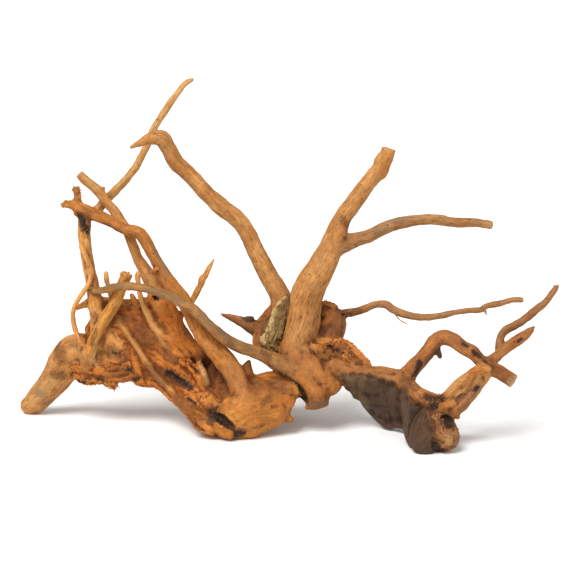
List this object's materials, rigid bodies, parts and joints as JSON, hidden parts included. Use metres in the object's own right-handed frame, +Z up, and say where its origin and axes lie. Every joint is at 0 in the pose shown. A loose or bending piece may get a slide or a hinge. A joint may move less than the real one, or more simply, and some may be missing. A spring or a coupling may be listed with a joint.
{
  "type": "spiderwood root",
  "caption": "Branching bare wood root with a gnarled root plate, sawn and frayed limbs, standing on low feet as aquarium or display wood.",
  "frame": {"origin": "middle of the footprint, on the surface that the feet stand on", "axes": "+X runs along the root's longest way, from the left foot to the far right twig; -Y is the front; +Z is up"},
  "size_m": [0.5658, 0.2247, 0.3521],
  "materials": {
    "debarked_wood": "dry, debarked, matt"
  },
  "bodies": {
    "root": {"spiderwood_root": "debarked_wood"}
  },
  "joints": []
}
